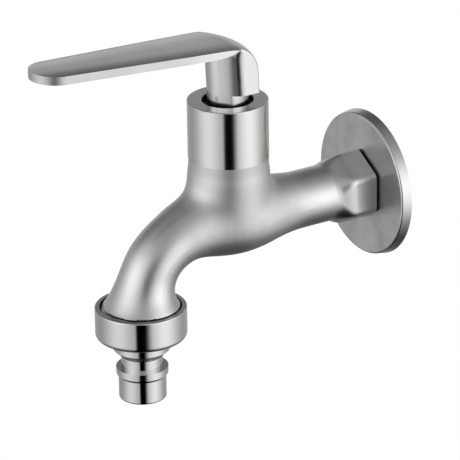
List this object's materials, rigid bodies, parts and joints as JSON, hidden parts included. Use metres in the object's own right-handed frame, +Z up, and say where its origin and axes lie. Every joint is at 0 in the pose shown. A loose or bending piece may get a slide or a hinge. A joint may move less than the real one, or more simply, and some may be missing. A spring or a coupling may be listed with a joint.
{
  "type": "garden tap",
  "caption": "Wall-mounted quarter-turn garden tap with a flat lever, a curved spout, a union nut and a stepped nozzle for a push-on hose coupling.",
  "frame": {"origin": "centre of the wall face on the inlet's axis, where the threaded tail starts", "axes": "+Y into the wall along the inlet's axis, -Y out of the wall towards the spout, +Z up along the spindle, X = 0 is the plane of symmetry"},
  "size_m": [0.0506, 0.1382, 0.1234],
  "materials": {
    "satin_steel": "bead-blasted and brushed stainless steel, soft highlights",
    "turned_steel": "turned and polished stainless steel, sharper highlights",
    "flange_steel": "pressed stainless sheet, satin face and brighter rim",
    "brass": "turned brass, unplated",
    "rubber": "black nitrile rubber",
    "slip_plastic": "white slippery plastic",
    "ceramic": "lapped alumina ceramic",
    "spring_steel": "blackened steel"
  },
  "bodies": {
    "tap": {"tap_body": "satin_steel", "bonnet_cover": "turned_steel", "cartridge_housing": "brass", "housing_seal_ring": "rubber", "seat_seal": "rubber", "seal_support_ring": "slip_plastic", "fixed_disc": "ceramic", "thrust_washer": "slip_plastic", "clip_washer": "slip_plastic"},
    "lever": {"lever_handle": "satin_steel", "lever_grub_screw": "spring_steel", "spindle": "brass", "spindle_clip": "spring_steel", "moving_disc": "ceramic", "lower_o_ring": "rubber", "upper_o_ring": "rubber"},
    "flange": {"wall_flange": "flange_steel"},
    "union": {"hose_nozzle": "turned_steel", "nozzle_washer": "rubber"},
    "nut": {"hose_nut": "turned_steel"}
  },
  "joints": [
    {"name": "lever_turn", "type": "hinge", "parent": "tap", "child": "lever", "pos_m": [0, -0.0566, 0], "axis": [0, 0, 1], "range_deg": [0, 90]},
    {"name": "flange_turn", "type": "hinge", "parent": "tap", "child": "flange", "pos_m": [0, 0, 0], "axis": [0, 1, 0], "continuous": true},
    {"name": "union_drop", "type": "slide", "parent": "tap", "child": "union", "axis": [0, 0, -1], "range_m": [0, 0.00363]},
    {"name": "nut_turn", "type": "hinge", "parent": "union", "child": "nut", "pos_m": [0, -0.0919, -0.0344], "axis": [0, 0, -1], "range_deg": [0, 720]}
  ],
  "couplings": [
    {"joint": "union_drop", "follows": "nut_turn", "m_per_rad": 0.00028871}
  ]
}
